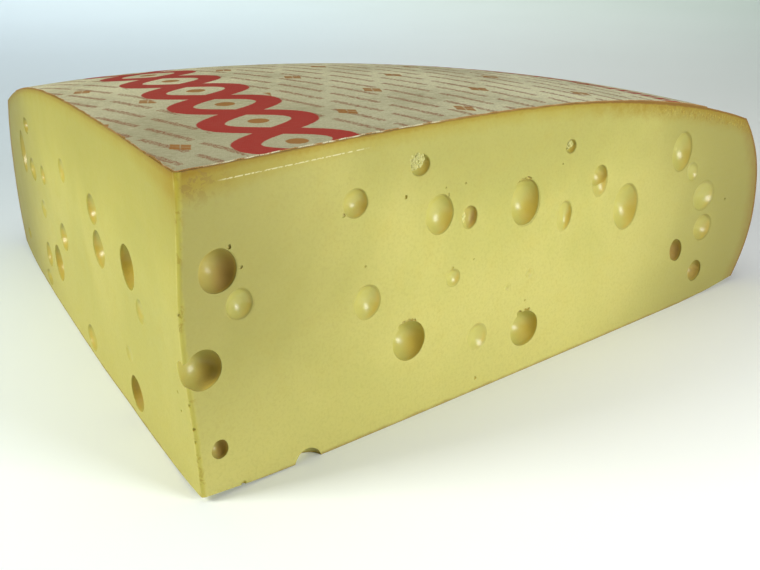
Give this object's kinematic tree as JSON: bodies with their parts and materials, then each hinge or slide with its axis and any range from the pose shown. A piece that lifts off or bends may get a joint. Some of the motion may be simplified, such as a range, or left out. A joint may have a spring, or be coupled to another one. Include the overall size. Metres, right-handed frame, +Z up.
{
  "type": "emmental cheese",
  "caption": "Large wedge of holey hard cheese cut from a domed wheel, with curved rind, open eyes in both cut faces and a thin patterned cover on top.",
  "frame": {"origin": "on the floor under the middle of the wedge's bounding box", "axes": "+X along the chord of the rind towards the front cut face's end, +Y from the near edge to the rind, +Z up"},
  "size_m": [0.5034, 0.4047, 0.1435],
  "materials": {
    "cheese_paste": "satin pale yellow paste with a golden brown rind",
    "cover_sheet": "matt woven tan sheet with brown and red print"
  },
  "bodies": {
    "root": {"cheese": "cheese_paste", "printed_cover": "cover_sheet"}
  },
  "joints": []
}
